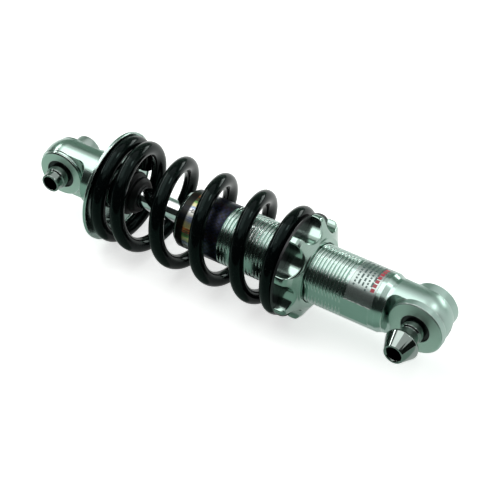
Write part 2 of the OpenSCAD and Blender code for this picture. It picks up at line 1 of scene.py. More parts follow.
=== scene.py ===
"""Looks of a coil-over rear shock absorber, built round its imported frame.

The shock lies along X with the body eye at the origin. Both eye sleeves run along Y, and the near side is
minus Y. Sizes in the classes are in millimetres, and the meshes are in metres.
"""

import logging
import math
from dataclasses import dataclass
from enum import Enum
from typing import Any, ClassVar

import bmesh
import bpy
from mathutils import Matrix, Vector


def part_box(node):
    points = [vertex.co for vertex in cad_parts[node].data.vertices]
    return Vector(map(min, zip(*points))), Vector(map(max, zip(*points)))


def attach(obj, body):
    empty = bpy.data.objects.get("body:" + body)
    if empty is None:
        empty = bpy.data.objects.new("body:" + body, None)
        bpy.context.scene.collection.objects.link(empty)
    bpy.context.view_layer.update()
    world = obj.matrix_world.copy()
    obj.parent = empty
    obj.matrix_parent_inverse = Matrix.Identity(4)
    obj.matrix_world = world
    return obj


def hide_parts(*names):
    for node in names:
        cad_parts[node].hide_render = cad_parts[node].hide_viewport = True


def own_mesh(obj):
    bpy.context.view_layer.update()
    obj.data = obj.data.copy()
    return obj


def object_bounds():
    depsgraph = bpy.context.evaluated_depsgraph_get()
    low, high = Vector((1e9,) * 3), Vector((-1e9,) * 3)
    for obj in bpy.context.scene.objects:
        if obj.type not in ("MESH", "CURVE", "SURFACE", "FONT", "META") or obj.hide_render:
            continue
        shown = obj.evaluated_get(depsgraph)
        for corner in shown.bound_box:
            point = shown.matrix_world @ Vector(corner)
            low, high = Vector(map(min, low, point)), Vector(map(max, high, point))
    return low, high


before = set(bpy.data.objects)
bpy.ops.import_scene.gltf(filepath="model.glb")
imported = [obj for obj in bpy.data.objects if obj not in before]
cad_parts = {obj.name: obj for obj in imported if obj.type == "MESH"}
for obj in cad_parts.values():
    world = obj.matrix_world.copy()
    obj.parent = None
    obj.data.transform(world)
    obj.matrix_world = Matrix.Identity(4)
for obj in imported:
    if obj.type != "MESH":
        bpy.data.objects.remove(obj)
CAD_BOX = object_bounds()
MM = 0.001
LOG = logging.getLogger("shock")

Point = tuple[float, float]
Corner = tuple[float, float, float]
Colour = tuple[float, float, float, float]
Patch = tuple[float, float, float, float]
Ring = list[bmesh.types.BMVert]
Tree = bpy.types.NodeTree
Node = bpy.types.Node
Socket = bpy.types.NodeSocket
Source = Node | Socket
Material = bpy.types.Material
Mesh = bpy.types.Mesh


class Axis(Enum):
    """A row axis, by its place in a coordinate."""

    X = 0
    Y = 1
    Z = 2


class Body(str, Enum):
    """The rigid bodies of the frame that pieces ride on."""

    DAMPER = "body"
    ROD = "rod"
    PRELOAD = "preload"
    COLLAR = "collar"
    ROD_SLEEVE = "rod_sleeve"
    BODY_SLEEVE = "body_sleeve"


def linear(hex_colour: str) -> Colour:
    """Turns an sRGB hex colour into the linear colour that the shaders take.

    Args:
        hex_colour: six hex digits with a leading hash.

    Returns:
        Linear red, green and blue, and full opacity.
    """
    parts = [int(hex_colour[i:i + 2], 16) / 255 for i in (1, 3, 5)]
    red, green, blue = (p / 12.92 if p <= 0.04045 else ((p + 0.055) / 1.055) ** 2.4 for p in parts)
    return red, green, blue, 1.0


def feed(node: Node, inputs: dict[str | int, Any]) -> None:
    """Sets or links the inputs of a shader node.

    Args:
        node: the node.
        inputs: input names or numbers, each with a value, a socket, or a node for its first output.
    """
    for key, value in inputs.items():
        source = value.outputs[0] if isinstance(value, Node) else value
        if isinstance(source, Socket):
            node.id_data.links.new(source, node.inputs[key])
        else:
            node.inputs[key].default_value = source


def add_node(
    tree: Tree,
    kind: str,
    inputs: dict[str | int, Any] | None = None,
    stops: list[tuple[float, str]] | None = None,
    **settings: Any,
) -> Node:
    """Adds a shader node with its settings and links.

    Args:
        tree: node tree that takes the node.
        kind: Blender's name of the node type, without its leading ShaderNode.
        inputs: input names or numbers, and what feeds them.
        stops: places and hex colours of a colour ramp.
        **settings: attributes of the node.

    Returns:
        The new node.
    """
    node = tree.nodes.new("ShaderNode" + kind)
    for name, value in settings.items():
        setattr(node, name, value)
    if stops:
        elements = node.color_ramp.elements
        for end in (0, -1):
            elements[end].position, elements[end].color = stops[end][0], linear(stops[end][1])
        for position, hex_colour in stops[1:-1]:
            elements.new(position).color = linear(hex_colour)
    feed(node, inputs or {})
    return node


@dataclass(frozen=True)
class Finish:
    """A surface finish: common values and the start of its node tree."""

    name: str
    colour: str
    roughness: float

    def start(self) -> tuple[Material, Tree, Node, Socket]:
        """Starts the material.

        Returns:
            The material, its tree, its shader and the coordinates that its patterns follow.
        """
        material = bpy.data.materials.new(self.name)
        material.use_nodes = True
        tree = material.node_tree
        shader = tree.nodes["Principled BSDF"]
        feed(shader, {"Base Color": linear(self.colour), "Roughness": self.roughness})
        coordinates = add_node(tree, "TexCoord").outputs["Object"]
        return material, tree, shader, coordinates

    def noise(
        self,
        tree: Tree,
        coordinates: Socket,
        size_mm: tuple[float, float, float],
        detail: float = 2.0,
        rough: float = 0.5,
    ) -> Socket:
        """Adds noise whose grains have a real size along each axis.

        Args:
            tree: node tree of the material.
            coordinates: object coordinates in metres.
            size_mm: size of a grain along X, Y and Z.
            detail: octaves of finer grain.
            rough: strength of the finer grain.

        Returns:
            The noise value from 0 to 1.
        """
        scale = tuple(1 / (s * MM) for s in size_mm)
        scaled = add_node(tree, "Mapping", {"Vector": coordinates, "Scale": scale})
        grain = add_node(
            tree, "TexNoise", {"Vector": scaled, "Scale": 1.0, "Detail": detail, "Roughness": rough}
        )
        return grain.outputs["Fac"]

    def coat(
        self, tree: Tree, shader: Node, colour: Socket, grain: Socket, gloss: Point, relief: Point
    ) -> None:
        """Gives the shader a colour, and a gloss and a relief that follow one grain.

        Args:
            tree: node tree of the material.
            shader: the shader.
            colour: its colour.
            grain: noise from 0 to 1.
            gloss: least and greatest roughness, as shares of the finish's own.
            relief: strength of the relief, and its depth in mm.
        """
        least, greatest = (self.roughness * share for share in gloss)
        rough = add_node(tree, "MapRange", {"Value": grain, "To Min": least, "To Max": greatest})
        strength, depth = relief
        bumps = add_node(tree, "Bump", {"Height": grain, "Strength": strength, "Distance": depth * MM})
        feed(shader, {"Base Color": colour, "Roughness": rough, "Normal": bumps})

    def make(self) -> Material:
        """Builds the material."""
        raise NotImplementedError


@dataclass(frozen=True)
class MachinedMetal(Finish):
    """Bare or plated metal with tool marks, fine scratches and softened edges.

    The marks and the facing rings are drawn coarser than a real cutter leaves them, so that they show.
    """

    lay: Axis = Axis.X
    mark_pitch_mm: float = 0.5
    mark_depth_mm: float = 0.004
    smear_mm: float = 9.0
    smear: float = 0.10
    edge_radius_mm: float = 0.22
    tint: str = "#9fb3a8"
    faced_colour: str = ""
    faced_roughness: float = 0.5
    satin_from_mm: float | None = None
    satin_roughness: float = 0.36
    eye_x_mm: float = 0.0
    eye_reach_mm: float = 13.0
    ring_pitch_mm: float = 0.5
    mark_length_mm: float = 40.0
    scratch_width_mm: float = 0.35
    scratch_length_mm: float = 14.0

    def make(self) -> Material:
        """Builds the metal: tool marks across the lay, smeared gloss, and edges painted paler, partly rubbed
        metal and partly a painted edge highlight.

        Returns:
            The material.
        """
        material, tree, shader, coordinates = self.start()
        along = [self.mark_length_mm] * 3
        along[self.lay.value] = self.mark_pitch_mm
        marks = self.noise(tree, coordinates, tuple(along), 3.0, 0.6)
        clouds = self.noise(tree, coordinates, (self.smear_mm,) * 3, 4.0, 0.6)
        scratch_size = [self.scratch_width_mm] * 3
        scratch_size[(self.lay.value + 1) % 3] = self.scratch_length_mm
        scratches = self.noise(tree, coordinates, tuple(scratch_size), 1.0, 0.5)
        thin = add_node(tree, "MapRange", {"Value": scratches, "From Min": 0.66, "From Max": 0.78})
        soft_edge = add_node(tree, "Bevel", {"Radius": self.edge_radius_mm * MM}, samples=6)
        face = add_node(tree, "NewGeometry").outputs["Normal"]
        meeting = add_node(
            tree, "VectorMath", {0: soft_edge, 1: face}, operation="DOT_PRODUCT"
        ).outputs["Value"]
        # Edge mask: every edge is painted paler, partly rubbed metal and partly a painted edge highlight.
        rubbed_edge_highlight = add_node(tree, "MapRange", {"Value": meeting, "From Min": 0.999, "From Max": 0.93})
        gloss = add_node(
            tree,
            "MapRange",
            {
                "Value": clouds,
                "From Min": 0.3,
                "From Max": 0.7,
                "To Min": self.roughness * (1 - self.smear),
                "To Max": self.roughness * (1 + self.smear) + self.smear * 0.1,
            },
        )
        streaked = add_node(
            tree, "Math", {0: marks, 1: 0.10 * self.roughness, 2: gloss}, operation="MULTIPLY_ADD"
        )
        scratched = add_node(tree, "Math", {0: thin, 1: 0.10, 2: streaked}, operation="MULTIPLY_ADD")
        share = add_node(tree, "Math", {0: clouds, 1: 0.35}, operation="MULTIPLY")
        dulled = add_node(
            tree, "Mix", {0: share, 6: linear(self.colour), 7: linear(self.tint)}, data_type="RGBA"
        ).outputs[2]
        relief = add_node(
            tree,
            "Bump",
            {"Height": marks, "Normal": soft_edge, "Strength": 0.5, "Distance": self.mark_depth_mm * MM},
        )
        if self.satin_from_mm is not None:
            scratched = self.satin(tree, coordinates, scratched)
        if self.faced_colour:
            radius = self.eye_radius(tree, coordinates)
            faced = self.faced(tree, radius, face)
            scratched = add_node(
                tree, "Mix", {0: faced, 2: scratched, 3: self.faced_roughness}, data_type="FLOAT"
            )
            dulled = add_node(
                tree, "Mix", {0: faced, 6: dulled, 7: linear(self.faced_colour)}, data_type="RGBA"
            ).outputs[2]
            relief = self.rings(tree, radius, faced, relief)
        # Edges take a near-white colour: partly rubbing, partly a painted edge highlight.
        colour_with_painted_edge = add_node(
            tree, "Mix", {0: rubbed_edge_highlight, 6: dulled, 7: linear("#f2f4f2")}, data_type="RGBA"
        ).outputs[2]
        feed(shader, {"Base Color": colour_with_painted_edge, "Roughness": scratched, "Normal": relief, "Metallic": 1.0})
        return material

    def eye_radius(self, tree: Tree, coordinates: Socket) -> Socket:
        """Gives the distance from the eye's axis in metres.

        Args:
            tree: node tree of the material.
            coordinates: object coordinates in metres.

        Returns:
            The distance.
        """
        centred = add_node(
            tree, "VectorMath", {0: coordinates, 1: (self.eye_x_mm * MM, 0, 0)}, operation="SUBTRACT"
        )
        flat = add_node(tree, "VectorMath", {0: centred, 1: (1, 0, 1)}, operation="MULTIPLY")
        return add_node(tree, "VectorMath", {0: flat}, operation="LENGTH").outputs["Value"]

    def satin(self, tree: Tree, coordinates: Socket, roughness: Source) -> Source:
        """Roughens the eye end, which is blasted and not turned.

        Args:
            tree: node tree of the material.
            coordinates: object coordinates in metres.
            roughness: roughness of the turned part.

        Returns:
            The roughness over the whole piece.
        """
        along = add_node(tree, "SeparateXYZ", {0: coordinates}).outputs["X"]
        start = self.satin_from_mm * MM
        share = add_node(tree, "MapRange", {"Value": along, "From Min": start, "From Max": start + 0.6 * MM})
        return add_node(tree, "Mix", {0: share, 2: roughness, 3: self.satin_roughness}, data_type="FLOAT")

    def faced(self, tree: Tree, radius: Socket, face: Socket) -> Source:
        """Finds the flat sides of the eye, which are faced to a pale satin.

        Args:
            tree: node tree of the material.
            radius: distance from the eye's axis in metres.
            face: true normal of the surface.

        Returns:
            The share of facing from 0 to 1.
        """
        across = add_node(tree, "SeparateXYZ", {0: face}).outputs["Y"]
        side = add_node(tree, "Math", {0: across}, operation="ABSOLUTE")
        flat = add_node(tree, "MapRange", {"Value": side, "From Min": 0.95, "From Max": 0.99})
        near = add_node(tree, "Math", {0: radius, 1: self.eye_reach_mm * MM}, operation="LESS_THAN")
        return add_node(tree, "Math", {0: flat, 1: near}, operation="MULTIPLY")

    def rings(self, tree: Tree, radius: Socket, faced: Source, normal: Source) -> Source:
        """Adds the rings that facing leaves on the flat sides of an eye.

        Args:
            tree: node tree of the material.
            radius: distance from the eye's axis in metres.
            faced: share of the faced sides.
            normal: normal with the other marks.

        Returns:
            The normal with the rings.
        """
        per_metre = 1 / (self.ring_pitch_mm * MM)
        scaled = add_node(tree, "Math", {0: radius, 1: per_metre}, operation="MULTIPLY")
        turned = add_node(
            tree, "TexNoise", {"W": scaled, "Scale": 1.0, "Detail": 2.0}, noise_dimensions="1D"
        ).outputs["Fac"]
        strength = add_node(tree, "Math", {0: faced, 1: 0.6}, operation="MULTIPLY")
        return add_node(
            tree, "Bump", {"Height": turned, "Normal": normal, "Strength": strength, "Distance": 0.02 * MM}
        )


@dataclass(frozen=True)
class StovedEnamel(Finish):
    """Thick gloss paint, stoved on spring wire."""

    peel_mm: float = 1.6
    speck_mm: float = 0.5
    index: float = 1.25
    gloss_tint: str = "#b4d8d0"

    def make(self) -> Material:
        """Builds the paint: deep black under a clear skin, faint orange peel and dust specks.

        Returns:
            The material.
        """
        material, tree, shader, coordinates = self.start()
        peel = self.noise(tree, coordinates, (self.peel_mm,) * 3, 2.0, 0.4)
        haze = self.noise(tree, coordinates, (12.0, 12.0, 12.0), 4.0, 0.6)
        specks = self.noise(tree, coordinates, (self.speck_mm,) * 3, 0.0)
        dust = add_node(
            tree,
            "MapRange",
            {"Value": specks, "From Min": 0.74, "From Max": 0.80, "To Min": 0.0, "To Max": 0.1},
        )
        colour = add_node(
            tree, "Mix", {0: dust, 6: linear(self.colour), 7: linear("#6c706e")}, data_type="RGBA"
        ).outputs[2]
        gloss = add_node(
            tree,
            "MapRange",
            {
                "Value": haze,
                "From Min": 0.3,
                "From Max": 0.7,
                "To Min": self.roughness * 0.8,
                "To Max": self.roughness * 1.3,
            },
        )
        relief = add_node(tree, "Bump", {"Height": peel, "Strength": 0.25, "Distance": 0.02 * MM})
        feed(shader, {"Base Color": colour, "Roughness": gloss, "Normal": relief})
        feed(shader, {"IOR": self.index, "Specular Tint": linear(self.gloss_tint)})
        return material


@dataclass(frozen=True)
class MouldedPolymer(Finish):
    """Moulded rubber or plastic with a fine matt grain."""

    grain_mm: float = 0.35
    bloom: str = "#3b3d3c"
    index: float = 1.45

    def make(self) -> Material:
        """Builds the polymer: a dark matt skin with a grey bloom and fine grain.

        Returns:
            The material.
        """
        material, tree, shader, coordinates = self.start()
        grain = self.noise(tree, coordinates, (self.grain_mm,) * 3, 2.0)
        bloom = self.noise(tree, coordinates, (5.0, 5.0, 5.0), 4.0, 0.6)
        share = add_node(
            tree, "MapRange", {"Value": bloom, "From Min": 0.4, "From Max": 0.8, "To Min": 0.0, "To Max": 0.6}
        )
        colour = add_node(
            tree, "Mix", {0: share, 6: linear(self.colour), 7: linear(self.bloom)}, data_type="RGBA"
        ).outputs[2]
        self.coat(tree, shader, colour, grain, gloss=(0.85, 1.15), relief=(0.4, 0.03))
        feed(shader, {"IOR": self.index})
        return material


@dataclass(frozen=True)
class HolographicFilm(Finish):
    """Dark polyester film with a pressed diffraction pattern, whose rainbow colours are painted on by angle
    round the axis as a painted reflection.
    """

    open_end_mm: float = -105.8
    margin_mm: float = 3.2
    rainbow_mm: float = 6.5
    streak_mm: float = 0.35
    weave_mm: float = 1.1

    def make(self) -> Material:
        """Builds the film: a painted rainbow reflection in layers by angle near the open end, dark woven navy
        beyond them.

        Returns:
            The material.
        """
        material, tree, shader, coordinates = self.start()
        along, across, up = add_node(tree, "SeparateXYZ", {0: coordinates}).outputs
        # Painted reflection: the rainbow colours are set by the angle round the axis, not by the lamps.
        angle = add_node(tree, "Math", {0: up, 1: across}, operation="ARCTAN2")
        streaks = self.noise(tree, coordinates, (30.0, self.streak_mm, self.streak_mm), 1.0)
        drift = self.noise(tree, coordinates, (3.0, 2.0, 2.0), 2.0)
        warped = add_node(tree, "Math", {0: drift, 1: 0.3, 2: angle}, operation="MULTIPLY_ADD")
        layered = add_node(tree, "Math", {0: streaks, 1: 0.45, 2: warped}, operation="MULTIPLY_ADD")
        turn = add_node(tree, "Math", {0: layered, 1: 0.8}, operation="MULTIPLY")
        cycle = add_node(tree, "Math", {0: turn}, operation="FRACT")
        painted_rainbow_sheen = add_node(
            tree,
            "ValToRGB",
            {0: cycle},
            stops=[
                (0.0, "#1d2230"),
                (0.12, "#f1f0e2"),
                (0.24, "#8fa3d8"),
                (0.36, "#f3e9a2"),
                (0.48, "#e07a3a"),
                (0.56, "#4a1c22"),
                (0.68, "#3f7f45"),
                (0.80, "#cfc68a"),
                (0.90, "#6d86a8"),
                (1.0, "#ffffff"),
            ],
        )
        middle = (self.open_end_mm + self.margin_mm + self.rainbow_mm / 2) * MM
        away = add_node(tree, "Math", {0: along, 1: middle}, operation="SUBTRACT")
        reach = add_node(tree, "Math", {0: away}, operation="ABSOLUTE")
        half = self.rainbow_mm / 2 * MM
        share = add_node(
            tree,
            "MapRange",
            {"Value": reach, "From Min": half - 0.6 * MM, "From Max": half, "To Min": 0.9, "To Max": 0.02},
        )
        scale = 1 / (self.weave_mm * MM)
        weave = add_node(
            tree,
            "TexChecker",
            {"Vector": coordinates, "Scale": scale, 1: linear(self.colour), 2: linear("#161b36")},
        )
        beyond = add_node(tree, "Math", {0: away, 1: 0.0}, operation="GREATER_THAN")
        ground = add_node(
            tree, "Mix", {0: beyond, 6: linear("#050607"), 7: weave}, data_type="RGBA"
        ).outputs[2]
        colour = add_node(tree, "Mix", {0: share, 6: ground, 7: painted_rainbow_sheen}, data_type="RGBA").outputs[2]
        self.coat(tree, shader, colour, streaks, gloss=(0.7, 1.4), relief=(0.2, 0.02))
        feed(shader, {"Metallic": 0.75})
        return material


@dataclass(frozen=True)
class FilmLabel(Finish):
    """Printed film: pale foil stock or ink, slightly crinkled over the curve."""

    metallic: float = 0.6
    crinkle_mm: float = 3.0

    def make(self) -> Material:
        """Builds the film: soft metal sheen, faint crinkles and rubbed patches.

        Returns:
            The material.
        """
        material, tree, shader, coordinates = self.start()
        crinkle = self.noise(tree, coordinates, (self.crinkle_mm,) * 3, 3.0)
        rub = self.noise(tree, coordinates, (1.2, 1.2, 1.2), 3.0, 0.7)
        tone = add_node(
            tree, "MapRange", {"Value": rub, "From Min": 0.4, "From Max": 0.8, "To Min": 0.0, "To Max": 0.3}
        )
        colour = add_node(
            tree, "Mix", {0: tone, 6: linear(self.colour), 7: linear("#8d9a93")}, data_type="RGBA"
        ).outputs[2]
        self.coat(tree, shader, colour, crinkle, gloss=(0.8, 1.2), relief=(0.3, 0.03))
        feed(shader, {"Metallic": self.metallic})
        return material


# Turned aluminium: fine rings round the shock axis, bright satin with a cool grey-green cast.
TURNED_ALUMINIUM = MachinedMetal("turned_aluminium", "#a6bcb4", 0.18, Axis.X, 0.45, 0.003, tint="#8fa79d")
# Body alloy: the same, with a blasted satin eye end whose flat sides carry facing rings.
BODY_ALUMINIUM = MachinedMetal(
    "body_aluminium", "#a6bcb4", 0.18, Axis.X, 0.45, 0.003, tint="#8fa79d",
    faced_colour="#cbddd4", satin_from_mm=-12.0
)
# Milled aluminium: straight cutter lines on the eyes, a little duller than the turned body.
MILLED_ALUMINIUM = MachinedMetal(
    "milled_aluminium", "#a8beb5", 0.20, Axis.Z, 0.55, 0.004, tint="#8fa79d",
    faced_colour="#cbddd4", eye_x_mm=-165.0
)
# Buffed aluminium: nearly a mirror, with only faint rings left from turning.
BUFFED_ALUMINIUM = MachinedMetal(
    "buffed_aluminium", "#9bb1a7", 0.15, Axis.X, 0.7, 0.0015, edge_radius_mm=0.1, tint="#9db3a9"
)
# Hard chrome on ground steel: the clearest mirror on the shock.
HARD_CHROME = MachinedMetal("hard_chrome", "#dfe3e4", 0.06, Axis.X, 0.3, 0.0006, tint="#b9c2c0")
# Black chromed steel: dark mirror with turning rings along the sleeve.
BLACK_CHROME = MachinedMetal(
    "black_chrome_steel", "#8c9792", 0.07, Axis.Y, 0.4, 0.0008, edge_radius_mm=0.15, tint="#5c6763"
)
# Zinc plated spring steel: pale grey, softly bright, used for washers, shims and rings.
ZINC_STEEL = MachinedMetal("zinc_plated_steel", "#a8b4af", 0.28, Axis.X, 0.6, 0.003)
# Sintered bronze: brown and porous, holds oil.
SINTERED_BRONZE = MachinedMetal("sintered_bronze", "#a5875a", 0.4, Axis.X, 0.5, 0.004, tint="#6f5a3c")
# Stoved black enamel: wet-looking black with long soft highlights.
BLACK_ENAMEL = StovedEnamel("stoved_black_enamel", "#050909", 0.11)
# Nitrile rubber: soft black, matt, with a grey bloom.
NITRILE_RUBBER = MouldedPolymer("nitrile_rubber", "#080a0a", 0.45, bloom="#121514", index=1.25)
# Black acetal: hard and waxy.
BLACK_ACETAL = MouldedPolymer("black_acetal", "#1b1c1d", 0.38, 0.6, "#2d2f30")
# Red polyurethane: the pad that ends the outward travel.
RED_URETHANE = MouldedPolymer("red_polyurethane", "#9a4632", 0.45, 0.5, "#7d3a2c")
# Holographic film: dark navy, with its rainbow stripes painted on by angle as a painted reflection.
DARK_HOLOGRAPHIC = HolographicFilm("holographic_film", "#080a16", 0.3)
# Pale foil label stock: dull silver with a paper-like softness.
FOIL_STOCK = FilmLabel("pale_foil_label", "#a5b1ad", 0.24, 0.8)
# Printing inks of the label's dashes: grey-green, and red for one row.
DARK_INK = FilmLabel("dark_label_ink", "#4c625f", 0.4, 0.2)
RED_INK = FilmLabel("red_label_ink", "#c23a4c", 0.45, 0.0)


def place(name: str, data: bpy.types.ID) -> bpy.types.Object:
    """Puts an object into the scene.

    Args:
        name: name of the object.
        data: its mesh, camera or light.

    Returns:
        The new object.
    """
    thing = bpy.data.objects.new(name, data)
    bpy.context.scene.collection.objects.link(thing)
    return thing


class Palette:
    """Makes each finish once and hands out its material."""

    def __init__(self) -> None:
        """Starts with no material made."""
        self._made: dict[str, Material] = {}

    def get(self, finish: Finish) -> Material:
        """Gives a finish's material.

        Args:
            finish: the finish to look up.

        Returns:
            The material, made at its first use.
        """
        if finish.name not in self._made:
            self._made[finish.name] = finish.make()
        return self._made[finish.name]

    def dress(self, node: str, finish: Finish) -> None:
        """Puts a finish on a frame node.

        Args:
            node: name of the node.
            finish: its new finish.
        """
        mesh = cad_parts[node].data
        mesh.materials.clear()
        mesh.materials.append(self.get(finish))
        LOG.info("dressed %s in %s", node, finish.name)

    def add_piece(
        self, name: str, mesh: Mesh, finish: Finish, body: Body, slot: str, replaces: tuple[str, ...] = ()
    ) -> bpy.types.Object:
        """Adds a modelled piece to the shock.

        Args:
            name: name of the piece.
            mesh: its final mesh, in the row frame.
            finish: its finish.
            body: the body that it rides on.
            slot: the record's material slot; not used.
            replaces: frame nodes that it stands for.

        Returns:
            The new object.
        """
        mesh.name = name
        mesh.materials.append(self.get(finish))
        piece = place(name, mesh)
        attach(piece, body.value)
        if replaces:
            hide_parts(*replaces)
        LOG.info("built %s with %d faces", name, len(mesh.polygons))
        return piece


@dataclass
class Assembly:
    """A sub-assembly of the shock, with the finishes of the frame nodes that keep their shape."""

    palette: Palette
    finishes: ClassVar[dict[str, Finish]] = {}

    def build(self) -> None:
        """Builds the pieces that the sub-assembly shows in place of frame nodes, if any."""

    def dress(self) -> None:
        """Puts the finishes on their frame nodes."""
        for node, finish in self.finishes.items():
            self.palette.dress(node, finish)


def finish_mesh(bm: bmesh.types.BMesh, sharp_deg: float = 32.0) -> Mesh:
    """Turns a bmesh into a smooth shaded mesh with crisp edges.

    Args:
        bm: geometry, which is freed.
        sharp_deg: edges that bend more than this stay sharp.

    Returns:
        The mesh.
    """
    bmesh.ops.recalc_face_normals(bm, faces=bm.faces)
    mesh = bpy.data.meshes.new("piece")
    bm.to_mesh(mesh)
    bm.free()
    mesh.shade_smooth()
    mesh.set_sharp_from_angle(angle=math.radians(sharp_deg))
    return mesh


def filleted(corners: list[Corner], steps: int = 5) -> list[Point]:
    """Rounds the corners of a closed outline with arcs.

    Args:
        corners: radius, place along the axis and fillet of each corner, in mm.
        steps: straight pieces in each arc.

    Returns:
        Points of the rounded outline.
    """
    points: list[Point] = []
    count = len(corners)
    for i, (radius, along, fillet) in enumerate(corners):
        here = Vector((radius, along))
        before = Vector(corners[i - 1][:2]) - here
        after = Vector(corners[(i + 1) % count][:2]) - here
        turn = before.angle(after)
        if fillet <= 0 or turn > math.pi - 0.02:
            points.append((radius, along))
            continue
        reach = min(fillet / math.tan(turn / 2), 0.49 * before.length, 0.49 * after.length)
        start = here + before.normalized() * reach
        end = here + after.normalized() * reach
        for k in range(steps + 1):
            t = k / steps
            bend = start.lerp(here, t).lerp(here.lerp(end, t), t)
            points.append((bend.x, bend.y))
    return points


def bridge(bm: bmesh.types.BMesh, rings: list[Ring], closed: bool = True) -> None:
    """Joins rings of points with faces.

    Args:
        bm: geometry that holds the points.
        rings: rings with the same number of points.
        closed: whether the last ring joins the first.
    """
    for this, following in zip(rings, rings[1:] + rings[:closed]):
        for i, here in enumerate(this):
            j = (i + 1) % len(this)
            bm.faces.new((here, following[i], following[j], this[j]))


def lathe(outline: list[Point], axis: Axis, centre_mm: float = 0.0, segments: int = 128) -> Mesh:
    """Turns a closed outline about an axis into a ring.

    Args:
        outline: radius and place along the axis of each point, in mm.
        axis: X for the shock axis or Y for an eye sleeve.
        centre_mm: X of a sleeve's axis.
        segments: faces round the axis.

    Returns:
        A closed mesh in metres.
    """
    bm = bmesh.new()
    rings: list[Ring] = []
    for k in range(segments):
        turn = 2 * math.pi * k / segments
        cos, sin = math.cos(turn), math.sin(turn)
        if axis is Axis.X:
            ring = [bm.verts.new((a * MM, r * cos * MM, r * sin * MM)) for r, a in outline]
        else:
            ring = [bm.verts.new(((centre_mm + r * cos) * MM, a * MM, r * sin * MM)) for r, a in outline]
        rings.append(ring)
    bridge(bm, rings)
    return finish_mesh(bm)


@dataclass
class CoilSpring:
    """The painted coil: one round wire, closed at the seat and ground flat at both ends."""

    wire_diameter: float = 6.0
    coil_diameter: float = 44.2
    turns: float = 5.75
    closed_turns: float = 1.1
    closed_gap: float = 0.5
    rise_turns: float = 0.35
    fall_turns: float = 0.8
    tail_turns: float = 0.1
    tail_pitch: float = 1.0
    seat_grind: float = 2.4
    collar_grind: float = 0.4
    start_deg: float = -10.0
    rings_per_turn: int = 72
    sides: int = 32
    heading_turns: float = 0.002

    def __post_init__(self) -> None:
        """Takes the spring's ends from the frame and works out its open pitch."""
        low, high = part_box("coil_spring")
        self.left = low.x / MM
        self.right = high.x / MM
        self.wire = self.wire_diameter / 2
        self.mean = self.coil_diameter / 2 - self.wire
        self.tip = self.wire - self.seat_grind
        self.closed_pitch = self.wire_diameter + self.closed_gap
        self.open_turns = (
            self.turns - self.closed_turns - self.rise_turns - self.fall_turns - self.tail_turns
        )
        travel = self.right - self.left - self.tip - (self.wire - self.collar_grind)
        ends = self.closed_pitch * (self.closed_turns + self.rise_turns / 2)
        ends += self.tail_pitch * (self.tail_turns + self.fall_turns / 2)
        self.open_pitch = (travel - ends) / (self.open_turns + self.rise_turns / 2 + self.fall_turns / 2)

    def rise(self, turn: float) -> float:
        """Gives how far the wire has climbed after some turns.

        Args:
            turn: turns from the tip at the seat.

        Returns:
            Climb along the axis in mm.
        """
        a = self.closed_turns
        b = a + self.rise_turns
        c = b + self.open_turns
        d = c + self.fall_turns
        up = max(0.0, min(turn, b) - a)
        down = max(0.0, min(turn, d) - c)
        climb = self.closed_pitch * min(turn, a) + self.closed_pitch * up
        climb += (self.open_pitch - self.closed_pitch) * up * up / (2 * self.rise_turns)
        climb += self.open_pitch * max(0.0, min(turn, c) - b)
        climb += self.open_pitch * down
        climb -= (self.open_pitch - self.tail_pitch) * down * down / (2 * self.fall_turns)
        return climb + self.tail_pitch * max(0.0, turn - d)

    def centre(self, turn: float) -> Vector:
        """Gives the wire's centre after some turns.

        Args:
            turn: turns from the tip at the seat.

        Returns:
            The centre in mm.
        """
        angle = math.radians(self.start_deg + 360 * turn)
        x = self.left + self.tip + self.rise(turn)
        return Vector((x, self.mean * math.cos(angle), self.mean * math.sin(angle)))

    def mesh(self) -> Mesh:
        """Sweeps the wire.

        Returns:
            The closed tube with its ends ground flat.
        """
        bm = bmesh.new()
        count = math.ceil(self.turns * self.rings_per_turn)
        rings: list[Ring] = []
        for i in range(count + 1):
            turn = i * self.turns / count
            angle = math.radians(self.start_deg + 360 * turn)
            out = Vector((0, math.cos(angle), math.sin(angle)))
            ahead, behind = (self.centre(turn + t) for t in (self.heading_turns, -self.heading_turns))
            heading = (ahead - behind).normalized()
            side = heading.cross(out)
            ring = []
            for j in range(self.sides):
                round_wire = 2 * math.pi * (j + 0.5) / self.sides
                p = self.centre(turn) + self.wire * (math.cos(round_wire) * out + math.sin(round_wire) * side)
                p.x = min(max(p.x, self.left), self.right)
                ring.append(bm.verts.new(p * MM))
            rings.append(ring)
        bridge(bm, rings, closed=False)
        bm.faces.new(rings[0])
        bm.faces.new(rings[-1])
        return finish_mesh(bm, 40.0)


